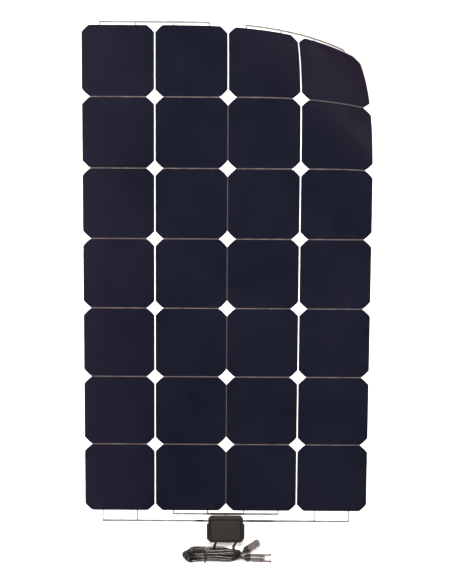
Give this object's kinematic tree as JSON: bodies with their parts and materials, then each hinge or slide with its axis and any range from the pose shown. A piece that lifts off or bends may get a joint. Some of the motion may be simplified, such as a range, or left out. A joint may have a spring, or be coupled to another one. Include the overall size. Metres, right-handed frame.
{
  "type": "flexible solar sheet",
  "caption": "Flexible laminated solar sheet with dark back-contact cells, one lifted corner, a front junction box and two leads in a tied hank with connectors.",
  "frame": {"origin": "middle of the sheet's underside, on the surface it lies on, measured without the leads, their hank and the connectors", "axes": "+X across the sheet, +Y along it to the end away from the junction box, +Z out of the front face with the cells"},
  "size_m": [0.546, 1.0046, 0.144],
  "materials": {
    "cell": "satin",
    "backsheet": "satin",
    "encapsulant": "clear",
    "front_film": "clear, gloss",
    "ribbon": "tinned",
    "junction_box": "moulded, fine grain",
    "seal": "matte",
    "adhesive": "matte",
    "terminal": "satin",
    "diode": "moulded",
    "cable": "satin",
    "tie": "satin",
    "connector": "moulded",
    "cap_nut": "moulded",
    "contact": "tin plated"
  },
  "bodies": {
    "root": {"cell_column1_row1": "cell", "cell_column1_row2": "cell", "cell_column1_row3": "cell", "cell_column1_row4": "cell", "cell_column1_row5": "cell", "cell_column1_row6": "cell", "cell_column1_row7": "cell", "cell_column2_row1": "cell", "cell_column2_row2": "cell", "cell_column2_row3": "cell", "cell_column2_row4": "cell", "cell_column2_row5": "cell", "cell_column2_row6": "cell", "cell_column2_row7": "cell", "cell_column3_row1": "cell", "cell_column3_row2": "cell", "cell_column3_row3": "cell", "cell_column3_row4": "cell", "cell_column3_row5": "cell", "cell_column3_row6": "cell", "cell_column3_row7": "cell", "cell_column4_row1": "cell", "cell_column4_row2": "cell", "cell_column4_row3": "cell", "cell_column4_row4": "cell", "cell_column4_row5": "cell", "cell_column4_row6": "cell", "cell_column4_row7": "cell", "backsheet": "backsheet", "rear_encapsulant": "encapsulant", "front_encapsulant": "encapsulant", "front_film": "front_film", "top_ribbon_left": "ribbon", "top_ribbon_right": "ribbon", "middle_ribbon": "ribbon", "end_ribbon_left": "ribbon", "end_ribbon_right": "ribbon", "box_base": "junction_box", "lid_gasket": "seal", "adhesive_pad": "adhesive", "lead_bushing_left": "seal", "lead_bushing_right": "seal", "left_terminal": "terminal", "centre_terminal": "terminal", "right_terminal": "terminal", "bypass_diode_left": "diode", "bypass_diode_right": "diode", "left_lead": "cable", "right_lead": "cable", "lead_hank": "cable", "cable_tie": "tie", "pronged_connector_housing": "connector", "barrel_connector_housing": "connector", "pronged_connector_socket": "contact", "barrel_connector_pin": "contact", "pronged_connector_seal": "seal"},
    "lid": {"box_lid": "junction_box"},
    "pronged_nut": {"pronged_connector_nut": "cap_nut"},
    "barrel_nut": {"barrel_connector_nut": "cap_nut"}
  },
  "joints": [
    {"name": "lid_lift", "type": "slide", "parent": "root", "child": "lid", "axis": [0, 0, 1], "range_m": [0, 0.03]},
    {"name": "pronged_nut_turn", "type": "hinge", "parent": "root", "child": "pronged_nut", "pos_m": [0.033, -0.5095, 0.0074], "axis": [1, 0, 0], "range_deg": [-810, 0]},
    {"name": "barrel_nut_turn", "type": "hinge", "parent": "root", "child": "barrel_nut", "pos_m": [0.033, -0.497, 0.01], "axis": [0.809, 0.5878, 0], "range_deg": [-810, 0]}
  ]
}
